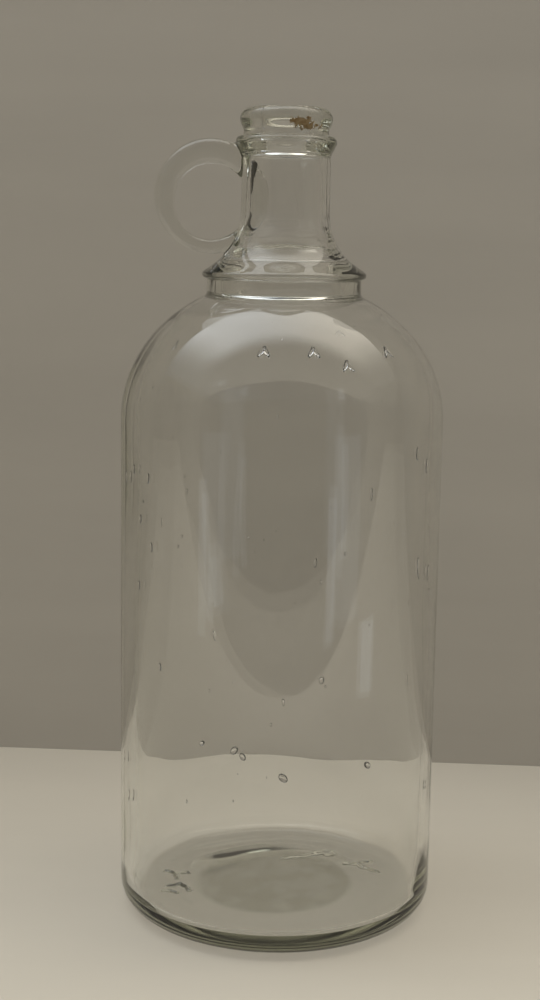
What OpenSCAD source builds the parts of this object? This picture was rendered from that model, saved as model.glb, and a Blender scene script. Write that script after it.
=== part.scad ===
// Half-gallon glass jug with a finger ring beside the neck.
// The jug is one moulding. Each zone of the glass is a node of its own, and the zones meet face to face.
// Origin: on the axis, in the plane that the jug stands on. +Z runs up to the mouth, the ring is on -X.

/* [Body] */
// Outside diameter of the body
body_d = 118; // [100:1:145]
// Height at which the straight side ends and the shoulder starts
body_h = 185; // [120:1:240]
// Glass thickness of the side
wall = 4.2; // [3:0.1:6]

/* [Base] */
// Height of the base zone, up to where the plain side starts
base_h = 22; // [18:1:40]
// Radius of the rounded heel outside
heel_r = 9.5; // [5:0.5:14]
// Radius of the corner between floor and side inside
inner_heel_r = 4; // [3:0.5:11]
// Glass thickness over the bearing ring
floor_t = 7.5; // [3.5:0.5:9]
// Width of the flat ring that the jug stands on
bearing_w = 3.5; // [2:0.5:6]
// Rise of the push-up from the bearing ring to its disc
push_up = 0.4; // [0.2:0.1:3]
// Diameter of the disc in the middle of the push-up
disc_d = 60; // [30:1:66]
// Depth by which the disc is set into the push-up
disc_step = 1.4; // [0.5:0.1:4]
// Glass thickness at the middle of the floor
centre_t = 7.2; // [4:0.1:10]

/* [Shoulder] */
// Rise of the shoulder's curve, if it ran on to the axis
shoulder_rise = 50.5; // [35:0.5:70]
// Diameter of the step on top of the shoulder
step_d = 56; // [48:0.5:68]
// Height of the step
step_h = 6; // [3:0.5:12]
// Glass thickness of the step
step_wall = 6.5; // [4:0.5:9]

/* [Skirt] */
// Distance by which the skirt's rim stands out over the step
rim_lap = 1.7; // [1:0.1:4]
// Radius of the rim's round edge
rim_edge_r = 1.4; // [0.8:0.1:2]
// Angle of the skirt's straight slope below the horizontal
slope_a = 35; // [25:1:45]
// Width of the straight slope, seen from above
slope_w = 3.1; // [1:0.1:4]
// Rise of the hollow's widest part inside the skirt
bell_rise = 5.5; // [3:0.5:6]
// Rise of the hollow's ledge, where it starts to widen fast
ledge_rise = 10; // [9:0.5:12]
// Distance by which the hollow is wider at its ledge than inside the neck
ledge_w = 3.6; // [1:0.1:4]

/* [Neck] */
// Outside diameter of the neck
neck_d = 31.8; // [28:0.2:38]
// Length of the straight neck, from the skirt to the collar
neck_h = 20.3; // [14:0.1:30]
// Glass thickness of the neck
neck_wall = 3; // [2:0.1:5]

/* [Collar and lip] */
// Diameter of the bore in the lip that takes a stopper
bore_d = 17.5; // [14:0.1:21]
// Diameter of the inside low in the collar, from where it tapers to the bore
collar_in_d = 20.8; // [18:0.1:24]
// Height over which the neck's inside narrows to that
narrow_h = 1.2; // [0.5:0.1:3]
// Distance by which the collar stands out over the neck
collar_lap = 2.2; // [1:0.1:4]
// Height of the collar
collar_h = 7; // [5.5:0.1:10]
// Radius of the collar's round top edge
collar_round = 2.2; // [1:0.1:2.6]
// Distance by which the lip stands out over the neck
lip_lap = 0.55; // [0:0.05:2]
// Height of the lip, with the groove under it
lip_h = 9.9; // [8:0.1:14]
// Radius of the lip's round outer edge
lip_round = 4.1; // [2:0.1:4.5]
// Angle that the lip's round edge runs on below its widest place
lip_under_a = 25; // [10:1:35]
// Height of the groove between collar and lip
groove_h = 2; // [1:0.1:2.4]
// Depth of the groove below the neck's surface
groove_in = 0.8; // [0:0.1:1.5]
// Radius of the round edge where the bore meets the top
mouth_round = 1.5; // [0.5:0.1:2]

/* [Finger ring] */
// Outside diameter of the ring
ring_d = 41; // [36:0.5:50]
// Diameter of the finger hole
hole_d = 26.9; // [22:0.1:30]
// Thickness of the ring, front to back
ring_t = 9; // [7:0.5:12]
// Distance from the neck's surface to the middle of the hole
ring_reach = 10.7; // [8:0.1:12]
// Height of the ring's middle above the middle of the neck
ring_up = -4.4; // [-6:0.1:4]
// Distance by which the hole is lower than the ring's middle
hole_drop = 1.8; // [0:0.1:2]
// Radius of the ring's outer edges
ring_edge_r = 3.2; // [1:0.1:3.4]
// Radius of the finger hole's edges
hole_edge_r = 1.8; // [0.5:0.1:2]

/* [Hidden] */
$fn = 96;
glass = [0.60, 0.62, 0.54, 0.55];
over = 1; // how far a cutting body runs past what it cuts
fine = 8; // segments in a small round edge
curve = 16; // segments in a long curve

body_r = body_d / 2;
inner_r = body_r - wall;
step_r = step_d / 2;
throat_r = step_r - step_wall;
neck_r = neck_d / 2;
neck_in_r = neck_r - neck_wall;
bore_r = bore_d / 2;
rim_r = step_r + rim_lap;
collar_r = neck_r + collar_lap;
lip_r = neck_r + lip_lap;
groove_r = neck_r - groove_in;

// Heights of the zones, from the shoulder up
step_z = body_h + shoulder_rise * sqrt(1 - pow(step_r / body_r, 2));
skirt_z = step_z + step_h;

// The skirt: a round rim, a straight slope and a flare that runs into the neck
rim_centre = [rim_r - rim_edge_r, skirt_z + rim_edge_r];
flare_turn = 90 - slope_a;
flare_end_r = rim_centre[0] - slope_w;
flare_r = (flare_end_r - neck_r) / (1 - cos(flare_turn));
flare_end_z = rim_centre[1] + (rim_edge_r + slope_w * sin(slope_a)) / cos(slope_a);
neck_z = flare_end_z + flare_r * sin(flare_turn);

collar_z = neck_z + neck_h;
lip_z = collar_z + collar_h;
top_z = lip_z + lip_h;

ring_x = -(neck_r + ring_reach);
ring_z = (neck_z + collar_z) / 2 + ring_up;
hole_z = ring_z - hole_drop;

// Points of an arc about a centre, from one angle to another
function arc(centre, r, from, to, n) =
    [for (i = [0:n]) let (a = from + (to - from) * i / n) centre + r * [cos(a), sin(a)]];

// Points of a quarter ellipse that stands on the height z, between two angles
function dome(r, rise, z, from, to, n) =
    [for (i = [0:n]) let (a = from + (to - from) * i / n) [r * cos(a), z + rise * sin(a)]];

module turned(outline) {
    color(glass) rotate_extrude() polygon(outline);
}

module base() {
    heel_x = body_r - heel_r;
    bearing_in = heel_x - bearing_w;
    disc_r = disc_d / 2;
    floor_x = inner_r - inner_heel_r;
    floor_mid = push_up + disc_step + centre_t;
    turned(concat(
        [[body_r, base_h]],
        arc([heel_x, heel_r], heel_r, 0, -90, fine),
        [[bearing_in, 0], [disc_r, push_up], [disc_r, push_up + disc_step], [0, push_up + disc_step]],
        [for (i = [0:fine]) let (t = i / fine) [floor_x * t, floor_mid + (floor_t - floor_mid) * t * t]],
        arc([floor_x, floor_t + inner_heel_r], inner_heel_r, -90 + 90 / fine, 0, fine - 1),
        [[inner_r, base_h]]
    ));
}

module barrel() {
    turned([[inner_r, base_h], [body_r, base_h], [body_r, body_h], [inner_r, body_h]]);
}

module shoulder() {
    outer_end = acos(step_r / body_r);
    inner_end = acos(throat_r / inner_r);
    inner_rise = (step_z - body_h) / sin(inner_end);
    turned(concat(
        dome(body_r, shoulder_rise, body_h, 0, outer_end, curve),
        dome(inner_r, inner_rise, body_h, inner_end, 0, curve)
    ));
}

module shoulder_step() {
    turned([[throat_r, step_z], [step_r, step_z], [step_r, skirt_z], [throat_r, skirt_z]]);
}

// The skirt's outside, from its underside to the neck
function skirt_outline() = concat(
    arc(rim_centre, rim_edge_r, -90, flare_turn, fine),
    arc([neck_r + flare_r, neck_z], flare_r, 180 + flare_turn, 180, fine)
);

module skirt() {
    turned(concat(
        [[throat_r, skirt_z]],
        skirt_outline(),
        [[neck_in_r, neck_z], [neck_in_r + ledge_w, skirt_z + ledge_rise], [throat_r, skirt_z + bell_rise]]
    ));
}

module neck() {
    turned([[neck_in_r, neck_z], [neck_r, neck_z], [neck_r, collar_z], [neck_in_r, collar_z]]);
}

// The collar's outside: a taper that runs into a round top edge
function collar_outline() = let (
    centre = [collar_r - collar_round, lip_z - collar_round],
    to_neck = [neck_r, collar_z] - centre,
    taper = atan2(to_neck[1], to_neck[0]) + acos(collar_round / norm(to_neck))
) concat([[neck_r, collar_z]], arc(centre, collar_round, taper, 90, fine));

module collar() {
    turned(concat(
        [[neck_in_r, collar_z]],
        collar_outline(),
        [[bore_r, lip_z], [collar_in_d / 2, collar_z + narrow_h]]
    ));
}

// The lip's outside: the groove under it and its round edge
function lip_outline() = concat(
    [[groove_r, lip_z], [groove_r, lip_z + groove_h]],
    arc([lip_r - lip_round, top_z - lip_round], lip_round, -lip_under_a, 90, fine)
);

module lip() {
    turned(concat(
        [[bore_r, lip_z]],
        lip_outline(),
        arc([bore_r + mouth_round, top_z - mouth_round], mouth_round, 90, 180, fine)
    ));
}

// Everything inside the outside of skirt, neck, collar and lip, which the ring grows out of
module neck_core() {
    rotate_extrude() polygon(concat(
        [[0, skirt_z - over], [rim_centre[0], skirt_z - over]],
        skirt_outline(),
        collar_outline(),
        lip_outline(),
        [[0, top_z]]
    ));
}

module finger_ring() {
    half_t = ring_t / 2;
    r = ring_d / 2;
    hole_r = hole_d / 2;
    disc = concat(
        [[0, -half_t]],
        arc([r - ring_edge_r, ring_edge_r - half_t], ring_edge_r, -90, 0, fine),
        arc([r - ring_edge_r, half_t - ring_edge_r], ring_edge_r, 0, 90, fine),
        [[0, half_t]]
    );
    hole = concat(
        [[0, -half_t - over], [hole_r + hole_edge_r, -half_t - over]],
        arc([hole_r + hole_edge_r, hole_edge_r - half_t], hole_edge_r, 270, 180, fine),
        arc([hole_r + hole_edge_r, half_t - hole_edge_r], hole_edge_r, 180, 90, fine),
        [[hole_r + hole_edge_r, half_t + over], [0, half_t + over]]
    );
    color(glass) difference() {
        translate([ring_x, 0, ring_z]) rotate([90, 0, 0]) rotate_extrude() polygon(disc);
        translate([ring_x, 0, hole_z]) rotate([90, 0, 0]) rotate_extrude() polygon(hole);
        neck_core();
    }
}

base();
barrel();
shoulder();
shoulder_step();
skirt();
neck();
collar();
lip();
finger_ring();
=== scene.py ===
import math
import random
import bmesh
import bpy
from mathutils import Matrix, Vector, noise


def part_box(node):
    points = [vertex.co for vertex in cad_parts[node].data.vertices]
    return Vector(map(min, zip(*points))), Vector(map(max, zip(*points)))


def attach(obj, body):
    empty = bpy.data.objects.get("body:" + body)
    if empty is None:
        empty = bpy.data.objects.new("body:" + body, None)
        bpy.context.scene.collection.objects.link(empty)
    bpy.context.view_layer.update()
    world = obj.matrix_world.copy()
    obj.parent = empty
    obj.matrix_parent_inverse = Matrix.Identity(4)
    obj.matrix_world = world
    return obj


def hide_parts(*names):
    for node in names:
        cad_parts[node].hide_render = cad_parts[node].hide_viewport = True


# A half-gallon jug in one piece of old pressed and blown glass, with a finger ring beside the neck.
# The jug is made as one closed skin, because its zones are one glass. The ring is on -X.

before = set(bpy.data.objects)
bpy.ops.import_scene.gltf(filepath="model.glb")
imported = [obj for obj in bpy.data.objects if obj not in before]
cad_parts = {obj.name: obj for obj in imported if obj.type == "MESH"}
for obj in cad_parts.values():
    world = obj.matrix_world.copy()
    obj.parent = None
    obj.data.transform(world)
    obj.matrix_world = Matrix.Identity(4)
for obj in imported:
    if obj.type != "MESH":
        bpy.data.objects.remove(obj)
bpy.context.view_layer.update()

MM = 0.001

# Heights and radii that the frame gives
body_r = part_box("barrel")[1].x
body_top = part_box("barrel")[1].z
step_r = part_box("shoulder_step")[1].x
step_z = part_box("shoulder")[1].z
skirt_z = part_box("shoulder_step")[1].z
rim_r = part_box("skirt")[1].x
neck_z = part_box("skirt")[1].z
neck_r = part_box("neck")[1].x
collar_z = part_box("neck")[1].z
collar_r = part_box("collar")[1].x
lip_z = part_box("collar")[1].z
lip_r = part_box("lip")[1].x
top_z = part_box("lip")[1].z
ring_low, ring_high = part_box("finger_ring")
ring_r = (ring_high.z - ring_low.z) / 2
ring_z = (ring_high.z + ring_low.z) / 2
ring_x = ring_low.x + ring_r
ring_half = ring_high.y

# Glass thickness and the small radii of the mould
wall = 4.2 * MM
seam_up = 0.12 * MM
inner_r = body_r - wall
heel_round = 9.5 * MM
inner_heel_round = 4 * MM
bearing_in = 46 * MM
push_up = 0.4 * MM
disc_r = 30 * MM
disc_step = 1.4 * MM
floor_edge = 7.5 * MM
floor_mid = 9 * MM
shoulder_rise = 50.5 * MM
throat_r = 21.5 * MM
rim_round = 1.4 * MM
slope_turn = math.radians(55)
slope_w = 3.1 * MM
bore_r = 8.75 * MM
mouth_round = 1.5 * MM
neck_in_r = 12.9 * MM
collar_in_r = 10.4 * MM
narrow_h = 1.2 * MM
bell_rise = 5.5 * MM
ledge_rise = 10 * MM
ledge_w = 3.6 * MM
collar_round = 2.2 * MM
groove_r = 15.1 * MM
groove_h = 2 * MM
lip_round = 4.1 * MM
lip_under = math.radians(25)
hole_r = 13.45 * MM
hole_drop = 1.8 * MM

TURN_STEPS = 200  # facets round the jug, which keeps it under 200,000 triangles
SEAM_CROWD = 0.3  # how much closer the facets stand at the two mould seams
SEAM_WIDE = math.radians(0.9)


# ---------------------------------------------------------------- outlines

def arc(centre, r_side, r_up, start, end, count):
    """Points of an ellipse's arc about a centre, between two angles."""
    return [(centre[0] + r_side * math.cos(start + (end - start) * i / count),
             centre[1] + r_up * math.sin(start + (end - start) * i / count)) for i in range(count + 1)]


def eased(corners, spacing):
    """A path through corners (across, up, radius), with each corner rounded and each straight run divided."""
    path = []
    for i, (x, z, radius) in enumerate(corners):
        here = Vector((x, z))
        if radius == 0 or i in (0, len(corners) - 1):
            path.append(here)
            continue
        back = (Vector(corners[i - 1][:2]) - here).normalized()
        on = (Vector(corners[i + 1][:2]) - here).normalized()
        half = back.angle(on) / 2
        cut = radius / math.tan(half)
        centre = here + (back + on).normalized() * (radius / math.sin(half))
        first, last = here + back * cut - centre, here + on * cut - centre
        turn = first.angle_signed(last)
        count = max(2, math.ceil(abs(turn) / math.radians(14)))
        for k in range(count + 1):
            path.append(centre + Matrix.Rotation(-turn * k / count, 2) @ first)
    out = [path[0]]
    for point in path[1:]:
        run = (point - out[-1]).length
        count = max(1, round(run / spacing))
        start = out[-1]
        if run > 1e-7:
            out += [start.lerp(point, k / count) for k in range(1, count + 1)]
    return [(p.x, p.y) for p in out]


def outer_outline():
    """From the middle of the push-up out to the heel, up the side and over the lip to the mouth."""
    wide = body_r - seam_up
    top_turn = math.acos(step_r / body_r)
    base = eased([(0, push_up + disc_step, 0), (disc_r - 8 * MM, push_up + disc_step, 40 * MM),
                  (disc_r + 8 * MM, push_up, 40 * MM), (bearing_in, 0, 3 * MM),
                  (wide, 0, heel_round), (wide, 22 * MM, 0)], 2.4 * MM)
    side = eased([(wide, 22 * MM, 0), (wide, body_top, 0)], 6 * MM)[1:]
    dome = [(x - seam_up, z) for x, z in arc((0, body_top), body_r, shoulder_rise, 0, top_turn, 26)][1:]
    flare_end_r = rim_r - rim_round - slope_w
    flare_r = (flare_end_r - neck_r) / (1 - math.cos(slope_turn))
    rim_centre = (rim_r - rim_round, skirt_z + rim_round)
    low = eased([(dome[-2][0], dome[-2][1], 0), (step_r - 0.05 * MM, step_z, 1.3 * MM),
                 (step_r - 0.15 * MM, skirt_z, 0.5 * MM), (rim_centre[0], skirt_z, 0)], 1.2 * MM)[1:]
    rim = arc(rim_centre, rim_round, rim_round, -math.pi / 2, slope_turn, 10)[1:]
    flare = arc((neck_r + flare_r, neck_z), flare_r, flare_r, math.pi + slope_turn, math.pi, 14)
    slope = eased([(*rim[-1], 0), (*flare[0], 0)], 0.9 * MM)[1:-1]
    collar_centre = (collar_r - collar_round, lip_z - collar_round)
    down = collar_z - collar_centre[1]
    taper = math.atan2(down, neck_r - collar_centre[0]) + math.acos(collar_round / abs(down))
    collar = arc(collar_centre, collar_round, collar_round, taper, math.pi / 2, 9)
    straight = eased([(*flare[-1], 0), (neck_r, collar_z, 1.2 * MM), (*collar[0], 0)], 1 * MM)[1:-1]
    lip_centre = (lip_r - lip_round, top_z - lip_round)
    lip = arc(lip_centre, lip_round, lip_round, -lip_under, math.pi / 2, 12)
    groove = eased([(*collar[-1], 0), (groove_r, lip_z, 0.35 * MM), (groove_r, lip_z + groove_h, 0.5 * MM),
                    (*lip[0], 0)], 0.7 * MM)[1:-1]
    mouth_centre = (bore_r + mouth_round, top_z - mouth_round)
    mouth = arc(mouth_centre, mouth_round, mouth_round, math.pi / 2, math.pi, 7)
    return base + side + dome[:-2] + low + rim + slope + flare + straight + collar + groove + lip + mouth


def inner_outline():
    """From the bore's top down through the hollow and the dome to the middle of the floor."""
    bell_z, ledge_z = skirt_z + bell_rise, skirt_z + ledge_rise
    ledge_r = neck_in_r + ledge_w
    end_turn = math.acos(throat_r / inner_r)
    inner_rise = (step_z - body_top) / math.sin(end_turn)
    dome = arc((0, body_top), inner_r, inner_rise, end_turn, 0, 24)
    throat = eased([(bore_r, top_z - mouth_round, 0), (bore_r, lip_z, 8 * MM),
                    (collar_in_r, collar_z + narrow_h, 0.7 * MM), (neck_in_r, collar_z, 0.7 * MM),
                    (neck_in_r, neck_z, 30 * MM), (ledge_r, ledge_z, 1 * MM), (throat_r, bell_z, 1.6 * MM),
                    (throat_r, step_z, 1.5 * MM), (*dome[1], 0)], 1 * MM)[1:]
    floor_x = inner_r - inner_heel_round
    side = eased([(*dome[-1], 0), (inner_r, floor_edge + inner_heel_round, 0)], 6 * MM)[1:]
    heel_centre = (floor_x, floor_edge + inner_heel_round)
    heel = arc(heel_centre, inner_heel_round, inner_heel_round, 0, -math.pi / 2, 9)[1:]
    count = 46
    floor = [(floor_x * (1 - i / count), floor_mid + (floor_edge - floor_mid) * (1 - i / count) ** 2)
             for i in range(1, count + 1)]
    return throat + dome[2:] + side + heel + floor


# ---------------------------------------------------------------- the jug's skin

def turned_skin(outer, inner):
    """The outline turned once round the axis, with the axis points closed and a mark on the inner skin."""
    bm = bmesh.new()
    inside = bm.verts.layers.int.new("inside")
    verts = []
    for k, (r, z) in enumerate(outer + inner):
        v = bm.verts.new((max(r, 0.0), 0, z))
        v[inside] = int(k >= len(outer))
        verts.append(v)
    edges = [bm.edges.new(pair) for pair in zip(verts, verts[1:])]
    bmesh.ops.spin(bm, geom=verts + edges, cent=(0, 0, 0), axis=(0, 0, 1), dvec=(0, 0, 0),
                   angle=math.tau, steps=TURN_STEPS, use_merge=True, use_normal_flip=False,
                   use_duplicate=False)
    bmesh.ops.remove_doubles(bm, verts=bm.verts[:], dist=1e-6)
    bmesh.ops.recalc_face_normals(bm, faces=bm.faces[:])
    return bm


def drift(point, size, seed):
    """A smooth random number from about -1 to 1 at a place, for bumps about this size."""
    x, y, z = point.x / size[0] + seed, point.y / size[1] - seed, point.z / size[2] + 2 * seed
    return noise.noise(Vector((x, y, z)))


def blend(value, low, high):
    """0 below low, 1 above high, and smooth between."""
    share = min(1, max(0, (value - low) / (high - low)))
    return share * share * (3 - 2 * share)


# Chill wrinkles in the floor inside, each between two places, with its height before WRINKLE_RISE
# and its half width, all in millimetres
WRINKLES = [((2, 15), (9, 16), 0.5, 0.55), ((9, 16), (15, 20), 0.75, 0.6), ((15, 20), (24, 22), 0.8, 0.8),
            ((21, 19), (24, 22), 0.5, 0.6), ((28, 11), (33, 12), 0.6, 0.6), ((33, 12), (35, 7), 0.65, 0.6),
            ((33, 12), (38, 15), 0.5, 0.5), ((35, 7), (39, 4), 0.5, 0.55),
            ((-42, 4), (-38, 1), 0.5, 0.6), ((-38, 1), (-37, -3), 0.6, 0.55), ((-38, 1), (-33, 2), 0.5, 0.5),
            ((-40, -10), (-35, -9), 0.5, 0.6), ((-35, -9), (-31, -14), 0.6, 0.6),
            ((-41, -14), (-36, -16), 0.4, 0.5)]
WRINKLE_RISE = 1.6
WRINKLE_WANDER = 1.1 * MM


def off_line(place, start, end):
    """The distance in plan from a place to a line between two places in millimetres, with a wander."""
    a, b = Vector(start) * MM, Vector(end) * MM
    wander = Vector((WRINKLE_WANDER * noise.noise(place * 330), WRINKLE_WANDER * noise.noise(place * 290)))
    p = Vector((place.x, place.y)) + wander
    share = min(1, max(0, (p - a).dot(b - a) / (b - a).length_squared))
    return (p - a - (b - a) * share).length


def creases(place):
    """How far the wrinkles lift the floor here."""
    lift = 0
    for start, end, height, half in WRINKLES:
        off = off_line(place, start, end) / (half * MM)
        lift = max(lift, WRINKLE_RISE * height * MM * math.exp(-off ** 2))
    return lift


def refine_floor(bm):
    """Finer facets on the floor inside, round the wrinkles."""
    inside = bm.verts.layers.int["inside"]
    reach = 2.2 * MM
    near = [e for e in bm.edges if all(v[inside] and v.co.z < floor_mid + MM for v in e.verts)
            and min(off_line((e.verts[0].co + e.verts[1].co) / 2, a, b) for a, b, _, _ in WRINKLES) < reach]
    bmesh.ops.subdivide_edges(bm, edges=near, cuts=2, use_grid_fill=True)


def seam_ridge(turn):
    """The height of the two mould seams at this turn, from 0 to 1."""
    off = min(abs(math.remainder(turn, math.tau)), abs(math.remainder(turn - math.pi, math.tau)))
    return math.exp(-(off / SEAM_WIDE) ** 2)


def crowd_at_seams(bm):
    """Turns the facets towards the two mould seams, where they have to be narrow."""
    for v in bm.verts:
        turn = math.atan2(v.co.y, v.co.x)
        r = math.hypot(v.co.x, v.co.y)
        turn -= SEAM_CROWD * math.sin(2 * turn)
        v.co.x, v.co.y = r * math.cos(turn), r * math.sin(turn)


SIDE_SHIFT = 0.6 * MM  # how far the hollow lies off the middle, so that one side is thicker


def age_the_glass(bm):
    """Gives both skins the unevenness of old glass, and the outside its two mould seams."""
    inside = bm.verts.layers.int["inside"]
    bm.normal_update()
    moves = [(v, v.co.copy(), v.normal.copy(), math.hypot(v.co.x, v.co.y), math.atan2(v.co.y, v.co.x))
             for v in bm.verts]
    for v, place, normal, r, turn in moves:
        z = place.z
        if v[inside]:
            body = 0.55 * drift(place, (34 * MM, 34 * MM, 70 * MM), 3.1)
            body += 0.08 * drift(place, (12 * MM, 12 * MM, 45 * MM), 7.7)
            throat = 0.45 * drift(place, (9 * MM, 9 * MM, 12 * MM), 5.5)
            neck = 0.10 * drift(place, (6 * MM, 6 * MM, 60 * MM), 6.1)
            in_throat = blend(z, skirt_z - 10 * MM, skirt_z)
            in_neck = blend(z, neck_z - 8 * MM, neck_z)
            amount = (body * (1 - in_throat) + throat * in_throat) * (1 - in_neck) + neck * in_neck
            place = place + normal * amount * MM + Vector((0, 0, creases(place) if z < floor_mid + MM else 0))
            if inner_r * 0.7 < r:
                place.x += SIDE_SHIFT * min(1, max(0, (z - 12 * MM) / (12 * MM)))
        else:
            lift = seam_ridge(turn) if r > 12 * MM and z > 0.5 * MM else 0
            ease = -0.06 * (0.5 + 0.5 * drift(place, (26 * MM, 26 * MM, 60 * MM), 1.3))
            outward = Vector((math.cos(turn), math.sin(turn), 0))
            place = place + outward * (seam_up * lift) * (1 if r > neck_r * 0.9 else 0) + normal * ease * MM
        v.co = place


def finish_mesh(bm, name, material):
    """The bmesh as a shown piece with its material and smooth faces."""
    mesh = bpy.data.meshes.new(name)
    bm.to_mesh(mesh)
    bm.free()
    piece = bpy.data.objects.new(name, mesh)
    bpy.context.scene.collection.objects.link(piece)
    mesh.materials.append(material)
    for face in mesh.polygons:
        face.use_smooth = True
    return piece


# ---------------------------------------------------------------- the finger ring

def ring_section():
    """The ring's rounded section, from the hole's edge to the rim, as (out, across)."""
    across = ring_half - 0.05 * MM
    out = ring_r - 0.05 * MM
    return eased([(hole_r, 0, 0), (hole_r, -across, 2.4 * MM), (out, -across, 3.4 * MM),
                  (out, across, 3.4 * MM), (hole_r, across, 2.4 * MM), (hole_r, 0, 0)], 0.7 * MM)[:-1]


def ring_mesh():
    """The section turned about the ring's middle, with the hole set lower than the rim's circle."""
    bm = bmesh.new()
    verts = [bm.verts.new((out, across, 0)) for out, across in ring_section()]
    edges = [bm.edges.new((verts[i], verts[(i + 1) % len(verts)])) for i in range(len(verts))]
    bmesh.ops.spin(bm, geom=verts + edges, cent=(0, 0, 0), axis=(0, 1, 0), dvec=(0, 0, 0),
                   angle=math.tau, steps=150, use_merge=True, use_normal_flip=False, use_duplicate=False)
    bmesh.ops.recalc_face_normals(bm, faces=bm.faces[:])
    for v in bm.verts:
        out = math.hypot(v.co.x, v.co.z)
        turn = math.atan2(v.co.z, v.co.x)
        hole_out = -hole_drop * math.sin(turn) + math.sqrt(hole_r ** 2 - (hole_drop * math.cos(turn)) ** 2)
        share = (out - hole_r) / (ring_r - hole_r)
        out = hole_out + share * (ring_r - hole_out)
        v.co.x, v.co.z = out * math.cos(turn), out * math.sin(turn)
    bmesh.ops.translate(bm, vec=(ring_x, 0, ring_z), verts=bm.verts[:])
    return bm


def joined(body, ring):
    """The two closed skins as one, by a boolean union."""
    union = body.modifiers.new("grow", "BOOLEAN")
    union.operation, union.solver, union.object = "UNION", "MANIFOLD", ring
    dg = bpy.context.evaluated_depsgraph_get()
    mesh = bpy.data.meshes.new_from_object(body.evaluated_get(dg))
    body.modifiers.remove(union)
    body.data = mesh
    bpy.data.objects.remove(ring)
    return body


def outline_radius(z):
    """The outside's radius at a height above the skirt's slope."""
    for (r0, z0), (r1, z1) in zip(OUTSIDE, OUTSIDE[1:]):
        if z0 > skirt_z + 3 * MM and z0 <= z <= z1 and z1 > z0:
            return r0 + (r1 - r0) * (z - z0) / (z1 - z0)
    return 0


ROOT_REACH = 1.8 * MM
ROOT_PASSES = 14


def soften_roots(bm):
    """Rounds the hard line where the ring grows out of the neck."""
    def at_root(place):
        out = math.hypot(place.x - ring_x, place.z - ring_z)
        gap = math.hypot(place.x, place.y) - outline_radius(place.z)
        return (place.x < 0 and abs(place.y) < ring_half + 2 * MM and hole_r - 3 * MM < out < ring_r + 2 * MM
                and -0.5 * MM < gap < ROOT_REACH)
    roots = [v for v in bm.verts if at_root(v.co)]
    for _ in range(ROOT_PASSES):
        bmesh.ops.smooth_vert(bm, verts=roots, factor=0.5, use_axis_x=True, use_axis_y=True, use_axis_z=True)


# Long seeds in the side wall: turn from straight in front in degrees, height and length in millimetres
LONG_SEEDS = [(-71, 165, 3.2), (-63, 169, 2.6), (-53, 167, 2.8), (-58, 152, 2.4), (-51, 143, 2.6),
              (-46, 101, 2.2), (54, 177, 3.4), (61, 172, 4.0), (57, 136, 6.0), (65, 133, 4.4),
              (-59, 128, 2.4), (-74, 60, 3.0), (-68, 47, 3.4), (70, 52, 2.6), (140, 150, 4.0),
              (165, 120, 3.0), (-150, 90, 3.6), (-120, 140, 2.8), (115, 80, 3.2), (178, 60, 2.4)]
# Tears in the shoulder, each a pair of seeds that meet in a point: turn and rise round the dome, in degrees
TEARS = [(-8, 34), (12, 34), (47, 33), (25, 28), (150, 36), (-120, 30)]
# Flat blisters low in the side wall: turn, height, width
BLISTERS = [(-15, 76, 1.6), (-12, 74, 1.4), (2, 67, 1.8), (33, 69, 1.5), (-27, 77, 1.1), (160, 71, 1.6)]
FINE_SEEDS = 90


def seed(bm, place, outward, along, length, width, thick):
    """A closed bubble in the glass: a stretched ball turned inside out."""
    side = outward.cross(along).normalized()
    along = side.cross(outward).normalized()
    turn = Matrix((side, along, outward)).transposed().to_4x4()
    matrix = Matrix.Translation(place) @ turn @ Matrix.Diagonal((width / 2, length / 2, thick / 2, 1))
    bmesh.ops.create_uvsphere(bm, u_segments=10, v_segments=7, radius=1, matrix=matrix)


def in_wall(turn, height):
    """The middle of the side wall, and its outward direction, at a turn from straight in front."""
    outward = Vector((math.sin(turn), -math.cos(turn), 0))
    return outward * (body_r - wall / 2) + Vector((0, 0, height)), outward


def in_dome(turn, rise):
    """The middle of the shoulder's wall, and its outward direction."""
    flat = Vector((math.sin(turn), -math.cos(turn), 0))
    r, up = (body_r - wall / 2) * math.cos(rise), (shoulder_rise - wall / 2) * math.sin(rise)
    outward = (flat * (math.cos(rise) / body_r) + Vector((0, 0, math.sin(rise) / shoulder_rise))).normalized()
    return flat * r + Vector((0, 0, body_top + up)), outward


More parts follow.
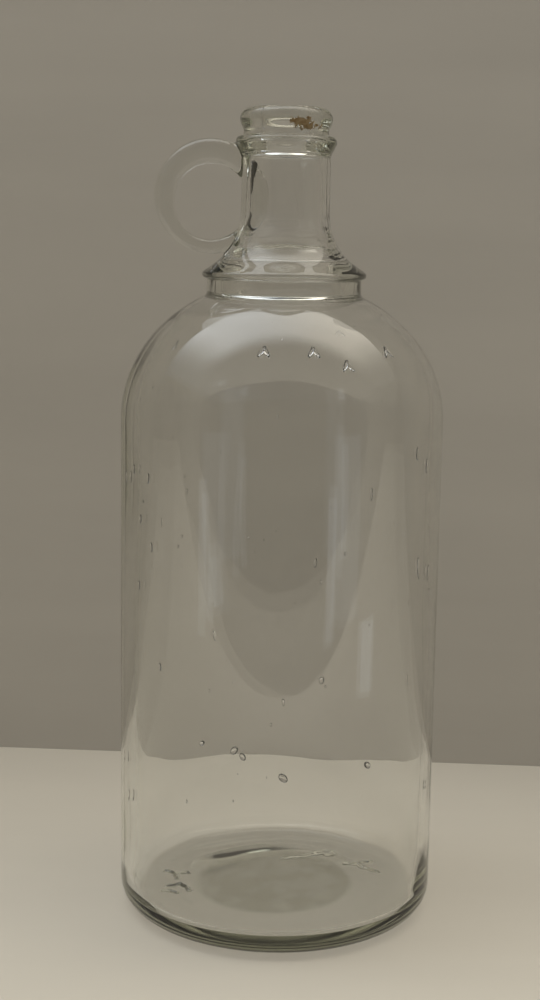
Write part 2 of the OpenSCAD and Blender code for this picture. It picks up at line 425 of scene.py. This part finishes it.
def add_seeds(glass_bm):
    """Air left in the glass: small closed skins whose faces point into the air."""
    bm = bmesh.new()
    up = Vector((0, 0, 1))
    for turn, height, length in LONG_SEEDS:
        place, outward = in_wall(math.radians(turn), height * MM)
        lean = up + outward.cross(up) * 0.12 * math.sin(turn * 5)
        seed(bm, place, outward, lean, length * 1.4 * MM, 1.5 * MM, 1.2 * MM)
    for turn, rise in TEARS:
        place, outward = in_dome(math.radians(turn), math.radians(rise))
        level = outward.cross(up).normalized()
        for hand in (-1, 1):
            along = (outward.cross(level) + level * 0.55 * hand).normalized()
            seed(bm, place + level * (0.75 * MM * hand), outward, along, 5.2 * MM, 1.5 * MM, 1.2 * MM)
    for turn, height, width in BLISTERS:
        place, outward = in_wall(math.radians(turn), height * MM)
        lean = up + outward.cross(up) * math.sin(turn)
        seed(bm, place, outward, lean, width * 2.2 * MM, width * 1.5 * MM, 1.3 * MM)
    rng = random.Random(11)
    for _ in range(FINE_SEEDS):
        turn, size = rng.uniform(0, math.tau), rng.uniform(0.3, 0.75) * MM
        if rng.random() < 0.75:
            place, outward = in_wall(turn, rng.uniform(25, 182) * MM)
        else:
            place, outward = in_dome(turn, math.radians(rng.uniform(4, 55)))
        place += outward * rng.uniform(-0.7, 0.7) * MM
        seed(bm, place, outward, up + outward * 0.1, size * rng.uniform(1, 2.4), size, size)
    bmesh.ops.reverse_faces(bm, faces=bm.faces[:])
    bubbles = bpy.data.meshes.new("bubbles")
    bm.to_mesh(bubbles)
    bm.free()
    glass_bm.from_mesh(bubbles)
    bpy.data.meshes.remove(bubbles)


def stain_film(material):
    """Rust from an old cap, dried in the groove under the lip at the front."""
    bm = bmesh.new()
    bmesh.ops.create_grid(bm, x_segments=110, y_segments=34, size=0.5)
    low, high = lip_z + 0.3 * MM, lip_z + 6.2 * MM
    start, end = math.radians(3), math.radians(54)
    for v in bm.verts:
        turn, z = start + (end - start) * (v.co.x + 0.5), low + (high - low) * (v.co.y + 0.5)
        r = outline_radius(z) + 0.05 * MM
        v.co = (r * math.sin(turn), -r * math.cos(turn), z)
    bm.faces.ensure_lookup_table()
    gone = []
    for f in bm.faces:
        c = f.calc_center_median()
        turn = (math.atan2(c.x, -c.y) - start) / (end - start)
        rise = (c.z - low) / (high - low)
        line = 0.72 - 0.40 * turn + 0.30 * noise.noise(c * 240)
        weight = math.exp(-((rise - line) / 0.30) ** 2) * (0.5 + 0.5 * math.exp(-((turn - 0.35) / 0.3) ** 2))
        weight += 0.42 * noise.noise(c * 800) + 0.30 * noise.noise(c * 2200)
        if weight < 0.50:
            gone.append(f)
    bmesh.ops.delete(bm, geom=gone, context="FACES")
    bmesh.ops.solidify(bm, geom=bm.faces[:], thickness=0.03 * MM)
    bmesh.ops.recalc_face_normals(bm, faces=bm.faces[:])
    return finish_mesh(bm, "rust_stain", material)


# ---------------------------------------------------------------- materials

def node_tree(name):
    material = bpy.data.materials.new(name)
    material.use_nodes = True
    material.node_tree.nodes.clear()
    return material, material.node_tree.nodes, material.node_tree.links


def math_node(nodes, links, operation, *values):
    """One step of arithmetic on sockets and numbers."""
    node = nodes.new("ShaderNodeMath")
    node.operation = operation
    for socket, value in zip(node.inputs, values):
        if hasattr(value, "links"):
            links.new(value, socket)
        else:
            socket.default_value = value
    return node.outputs[0]


def soft_edge(nodes, links, value, full, none):
    """1 where the value is at full or beyond, 0 at none, and smooth between."""
    node = nodes.new("ShaderNodeMapRange")
    node.interpolation_type = "SMOOTHSTEP"
    node.inputs["From Min"].default_value = none
    node.inputs["From Max"].default_value = full
    links.new(value, node.inputs["Value"])
    return node.outputs["Result"]


def glass_finish():
    """Clear soda glass, faintly olive in its depth, with slight ripples, a haze and a stippled disc below
    whose colour is darkened in blotches as painted shade.
    """
    material, nodes, links = node_tree("clear_glass")
    out = nodes.new("ShaderNodeOutputMaterial")
    glass = nodes.new("ShaderNodeBsdfPrincipled")
    glass.inputs["Transmission Weight"].default_value = 1
    glass.inputs["IOR"].default_value = 1.52
    coords = nodes.new("ShaderNodeTexCoord")
    haze = nodes.new("ShaderNodeTexNoise")
    haze.inputs["Scale"].default_value = 38
    haze.inputs["Detail"].default_value = 5
    haze_range = nodes.new("ShaderNodeMapRange")
    haze_range.inputs["From Min"].default_value = 0.52
    haze_range.inputs["From Max"].default_value = 0.8
    haze_range.inputs["To Max"].default_value = 0.06
    ripple = nodes.new("ShaderNodeTexNoise")
    ripple.inputs["Scale"].default_value = 60
    ripple.inputs["Detail"].default_value = 2
    bump = nodes.new("ShaderNodeBump")
    bump.inputs["Strength"].default_value = 0.05
    bump.inputs["Distance"].default_value = 0.0004
    absorb = nodes.new("ShaderNodeVolumeAbsorption")
    absorb.inputs["Color"].default_value = (0.444, 0.478, 0.29, 1)
    absorb.inputs["Density"].default_value = 13
    place = coords.outputs["Object"]
    split = nodes.new("ShaderNodeSeparateXYZ")
    links.new(place, split.inputs["Vector"])
    flat = nodes.new("ShaderNodeCombineXYZ")
    links.new(split.outputs["X"], flat.inputs["X"])
    links.new(split.outputs["Y"], flat.inputs["Y"])
    plan = nodes.new("ShaderNodeVectorMath")
    plan.operation = "LENGTH"
    links.new(flat.outputs["Vector"], plan.inputs[0])
    on_disc = soft_edge(nodes, links, plan.outputs["Value"], disc_r - 3 * MM, disc_r + 1 * MM)
    below = soft_edge(nodes, links, split.outputs["Z"], 3 * MM, 4 * MM)
    disc = math_node(nodes, links, "MULTIPLY", on_disc, below)
    stipple = nodes.new("ShaderNodeTexNoise")
    stipple.inputs["Scale"].default_value = 420
    stipple.inputs["Detail"].default_value = 3
    links.new(place, stipple.inputs["Vector"])
    mottle = nodes.new("ShaderNodeTexNoise")
    mottle.inputs["Scale"].default_value = 85
    mottle.inputs["Detail"].default_value = 4
    links.new(place, mottle.inputs["Vector"])
    patch = soft_edge(nodes, links, mottle.outputs["Fac"], 0.40, 0.66)
    patches = math_node(nodes, links, "MULTIPLY_ADD", patch, 0.35, 0.65)
    # Painted shade: the disc below is darkened in its colour, in blotches, for the shade under the push-up.
    disc_painted_shade = math_node(nodes, links, "MULTIPLY", disc, patches)
    shade_tint_mix = nodes.new("ShaderNodeMix")
    shade_tint_mix.data_type = "RGBA"
    shade_tint_mix.inputs["A"].default_value = (1, 1, 1, 1)
    shade_tint_mix.inputs["B"].default_value = (0.52, 0.52, 0.45, 1)
    links.new(disc_painted_shade, shade_tint_mix.inputs["Factor"])
    links.new(shade_tint_mix.outputs["Result"], glass.inputs["Base Color"])
    links.new(place, haze.inputs["Vector"])
    links.new(place, ripple.inputs["Vector"])
    links.new(haze.outputs["Fac"], haze_range.inputs["Value"])
    rough = math_node(nodes, links, "MULTIPLY_ADD", disc, 0.12, haze_range.outputs["Result"])
    links.new(rough, glass.inputs["Roughness"])
    stippled = math_node(nodes, links, "MULTIPLY", stipple.outputs["Fac"], disc)
    height = math_node(nodes, links, "MULTIPLY_ADD", stippled, 0.5, ripple.outputs["Fac"])
    links.new(height, bump.inputs["Height"])
    links.new(bump.outputs["Normal"], glass.inputs["Normal"])
    links.new(glass.outputs["BSDF"], out.inputs["Surface"])
    links.new(absorb.outputs["Volume"], out.inputs["Volume"])
    return material


def rust_finish():
    """A dried rust stain, darker where it is thick."""
    material, nodes, links = node_tree("rust_stain")
    out = nodes.new("ShaderNodeOutputMaterial")
    rust = nodes.new("ShaderNodeBsdfPrincipled")
    rust.inputs["Roughness"].default_value = 0.75
    coords = nodes.new("ShaderNodeTexCoord")
    thick = nodes.new("ShaderNodeTexNoise")
    thick.inputs["Scale"].default_value = 900
    thick.inputs["Detail"].default_value = 4
    ramp = nodes.new("ShaderNodeValToRGB")
    ramp.color_ramp.elements[0].position = 0.35
    ramp.color_ramp.elements[1].position = 0.65
    ramp.color_ramp.elements[0].color = (0.30, 0.19, 0.08, 1)
    ramp.color_ramp.elements[1].color = (0.52, 0.40, 0.24, 1)
    grain = nodes.new("ShaderNodeBump")
    grain.inputs["Strength"].default_value = 0.4
    grain.inputs["Distance"].default_value = 0.0001
    links.new(coords.outputs["Object"], thick.inputs["Vector"])
    links.new(thick.outputs["Fac"], ramp.inputs["Fac"])
    links.new(thick.outputs["Fac"], grain.inputs["Height"])
    links.new(ramp.outputs["Color"], rust.inputs["Base Color"])
    links.new(grain.outputs["Normal"], rust.inputs["Normal"])
    links.new(rust.outputs["BSDF"], out.inputs["Surface"])
    return material


def painted_board(name, colour, mottle, one_sided):
    """Matt paint with faint, long streaks. A one-sided board is clear from behind."""
    material, nodes, links = node_tree(name)
    out = nodes.new("ShaderNodeOutputMaterial")
    paint = nodes.new("ShaderNodeBsdfPrincipled")
    paint.inputs["Roughness"].default_value = 0.62
    paint.inputs["Specular IOR Level"].default_value = 0.25
    coords = nodes.new("ShaderNodeTexCoord")
    place = nodes.new("ShaderNodeMapping")
    place.inputs["Scale"].default_value = (1, 4, 7)
    streak = nodes.new("ShaderNodeTexNoise")
    streak.inputs["Scale"].default_value = 3
    streak.inputs["Detail"].default_value = 6
    ramp = nodes.new("ShaderNodeValToRGB")
    ramp.color_ramp.elements[0].position = 0.3
    ramp.color_ramp.elements[1].position = 0.7
    ramp.color_ramp.elements[0].color = (*[c * (1 - mottle) for c in colour], 1)
    ramp.color_ramp.elements[1].color = (*[c * (1 + mottle) for c in colour], 1)
    links.new(coords.outputs["Object"], place.inputs["Vector"])
    links.new(place.outputs["Vector"], streak.inputs["Vector"])
    links.new(streak.outputs["Fac"], ramp.inputs["Fac"])
    links.new(ramp.outputs["Color"], paint.inputs["Base Color"])
    if not one_sided:
        links.new(paint.outputs["BSDF"], out.inputs["Surface"])
        return material
    clear = nodes.new("ShaderNodeBsdfTransparent")
    side = nodes.new("ShaderNodeNewGeometry")
    mix = nodes.new("ShaderNodeMixShader")
    links.new(side.outputs["Backfacing"], mix.inputs["Fac"])
    links.new(paint.outputs["BSDF"], mix.inputs[1])
    links.new(clear.outputs["BSDF"], mix.inputs[2])
    links.new(mix.outputs["Shader"], out.inputs["Surface"])
    return material


# ---------------------------------------------------------------- the jug

OUTSIDE = outer_outline()
bm = turned_skin(OUTSIDE, inner_outline())
crowd_at_seams(bm)
refine_floor(bm)
age_the_glass(bm)
glass = glass_finish()
jug = finish_mesh(bm, "jug_glass", glass)
ring_bm = ring_mesh()
ring = finish_mesh(ring_bm, "ring_blank", glass)
jug = joined(jug, ring)
bm = bmesh.new()
bm.from_mesh(jug.data)
soften_roots(bm)
add_seeds(bm)
bm.to_mesh(jug.data)
bm.free()
for face in jug.data.polygons:
    face.use_smooth = True
stain = stain_film(rust_finish())
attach(jug, "root")
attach(stain, "root")
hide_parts("base", "barrel", "shoulder", "shoulder_step", "skirt", "neck", "collar", "lip",
            "finger_ring")

# ---------------------------------------------------------------- stage, light and camera

WALL_BACK = 0.163
TABLE_FRONT = -0.38
WALL_YAW = math.radians(-3.7)
FLOOR_LONG = 2.0
FLOOR_COLOUR = (0.56, 0.52, 0.44)
WALL_COLOUR = (0.305, 0.282, 0.24)


def board(name, wide, tall, matrix, material):
    bm = bmesh.new()
    bmesh.ops.create_grid(bm, x_segments=8, y_segments=8, size=0.5)
    bmesh.ops.scale(bm, vec=(wide, tall, 1), verts=bm.verts[:])
    bmesh.ops.transform(bm, matrix=matrix, verts=bm.verts[:])
    mesh = bpy.data.meshes.new(name)
    bm.to_mesh(mesh)
    bm.free()
    made = bpy.data.objects.new(name, mesh)
    bpy.context.scene.collection.objects.link(made)
    mesh.materials.append(material)
    return made


def wall(name, back, yaw, wide, tall, paint, low=0):
    """An upright board that faces the jug from this far behind it, turned round the jug's axis."""
    place = (Matrix.Rotation(yaw, 4, "Z") @ Matrix.Translation((0, back, low + tall / 2))
             @ Matrix.Rotation(math.pi / 2, 4, "X"))
    return board(name, wide, tall, place, paint)


floor_place = Matrix.Translation((0, TABLE_FRONT + FLOOR_LONG / 2, 0))
floor_paint = painted_board("floor_paint", FLOOR_COLOUR, 0.035, False)
stage_boards = [board("floor", 4, FLOOR_LONG, floor_place, floor_paint)]
wall_paint = painted_board("wall_paint", WALL_COLOUR, 0.045, True)
stage_boards.append(wall("backdrop", WALL_BACK, WALL_YAW, 3, 0.62, wall_paint))
for side, turn in (("left", 90), ("front", 180), ("right", 270)):
    stage_boards.append(wall(side + "_wall", 1.5, math.radians(turn), 3, 1.9, wall_paint, -1))

OVERHEAD_BACK = 0.16
OVERHEAD_LIGHT = 2.1
ROOM_LIGHT = 0.12
SIDE_LIGHT = 0.25


def room_light():
    """A dim, even room with one wide, soft light overhead, cooler on the left and warmer on the right."""
    world = bpy.data.worlds.new("room")
    world.use_nodes = True
    nodes, links = world.node_tree.nodes, world.node_tree.links
    background = nodes["Background"]
    coords = nodes.new("ShaderNodeTexCoord")
    split = nodes.new("ShaderNodeSeparateXYZ")
    links.new(coords.outputs["Generated"], split.inputs["Vector"])
    x, y, z = split.outputs
    across = soft_edge(nodes, links, math_node(nodes, links, "ABSOLUTE", x), 0.52, 0.86)
    from_middle = math_node(nodes, links, "SUBTRACT", y, OVERHEAD_BACK)
    off = math_node(nodes, links, "ABSOLUTE", from_middle)
    along = soft_edge(nodes, links, off, 0.16, 0.46)
    above = soft_edge(nodes, links, z, 0.4, 0.15)
    lamp = math_node(nodes, links, "MULTIPLY", math_node(nodes, links, "MULTIPLY", across, along), above)
    sideways = math_node(nodes, links, "MULTIPLY", x, x)
    sides = math_node(nodes, links, "MULTIPLY_ADD", sideways, SIDE_LIGHT, ROOM_LIGHT)
    strength = math_node(nodes, links, "MULTIPLY_ADD", lamp, OVERHEAD_LIGHT, sides)
    tint = nodes.new("ShaderNodeMix")
    tint.data_type = "RGBA"
    tint.inputs["A"].default_value = (0.93, 0.97, 1, 1)
    tint.inputs["B"].default_value = (1, 0.93, 0.80, 1)
    links.new(soft_edge(nodes, links, x, 0.55, -0.4), tint.inputs["Factor"])
    links.new(tint.outputs["Result"], background.inputs["Color"])
    links.new(strength, background.inputs["Strength"])
    bpy.context.scene.world = world


room_light()

glass_only = bpy.data.collections.new("glass_only")
glass_only.objects.link(jug)


def card(name, turn, away, low, wide, tall, glow, colour):
    """A pale card that shows only in the glass. The turn is in degrees from straight in front."""
    lamp = bpy.data.lights.new(name, "AREA")
    lamp.shape = "RECTANGLE"
    lamp.size, lamp.size_y = wide, tall
    lamp.energy = glow * math.pi * wide * tall
    lamp.color = colour
    made = bpy.data.objects.new(name, lamp)
    turn = math.radians(turn)
    made.location = (away * math.sin(turn), -away * math.cos(turn), low + tall / 2)
    made.rotation_euler = (math.pi / 2, 0, turn)
    made.visible_camera = False
    made.light_linking.receiver_collection = glass_only
    bpy.context.scene.collection.objects.link(made)


COOL = (0.86, 0.93, 1)
card("left_card", -53, 0.5, 0.0, 0.05, 0.10, 0.55, COOL)
card("left_wide_card", -46, 0.55, 0.0, 0.16, 0.15, 0.2, COOL)
card("right_card", 34, 0.5, 0.0, 0.05, 0.09, 0.5, COOL)
card("right_wide_card", 44, 0.55, 0.0, 0.18, 0.14, 0.25, COOL)
card("low_card", 60, 0.36, 0.005, 0.06, 0.04, 0.6, COOL)

FILL_PLACE = (0.0, -1.1, 1.05)
FILL_AIM = (0, 0.1, 0.1)
FILL_POWER = 17


def room_fill():
    """A broad front light on floor and walls only, so that the glass keeps its dim surroundings."""
    stage_only = bpy.data.collections.new("stage_only")
    for made in stage_boards:
        stage_only.objects.link(made)
    lamp = bpy.data.lights.new("room_fill", "AREA")
    lamp.shape = "RECTANGLE"
    lamp.size, lamp.size_y = 1.8, 0.8
    lamp.energy = FILL_POWER
    lamp.color = (1, 0.985, 0.96)
    made = bpy.data.objects.new("room_fill", lamp)
    made.location = FILL_PLACE
    made.rotation_euler = (Vector(FILL_AIM) - Vector(FILL_PLACE)).to_track_quat("-Z", "Y").to_euler()
    made.visible_camera = False
    made.light_linking.receiver_collection = stage_only
    made.light_linking.blocker_collection = stage_only
    bpy.context.scene.collection.objects.link(made)


room_fill()

CAMERA_PLACE = (-0.0039, -0.587, 0.2534)
CAMERA_TILT = math.radians(80.407)
CAMERA_ROLL = math.radians(0.859)
camera_data = bpy.data.cameras.new("camera")
camera_data.lens = 57.9
camera_data.sensor_width = 36
camera_data.clip_start = 0.01
camera = bpy.data.objects.new("camera", camera_data)
camera.matrix_world = (Matrix.Translation(CAMERA_PLACE) @ Matrix.Rotation(CAMERA_TILT, 4, "X")
                       @ Matrix.Rotation(CAMERA_ROLL, 4, "Z"))
bpy.context.scene.collection.objects.link(camera)
bpy.context.scene.camera = camera
bpy.context.scene.view_settings.view_transform = "Standard"
bpy.context.scene.cycles.max_bounces = 24
bpy.context.scene.cycles.transmission_bounces = 24
bpy.context.scene.cycles.glossy_bounces = 12
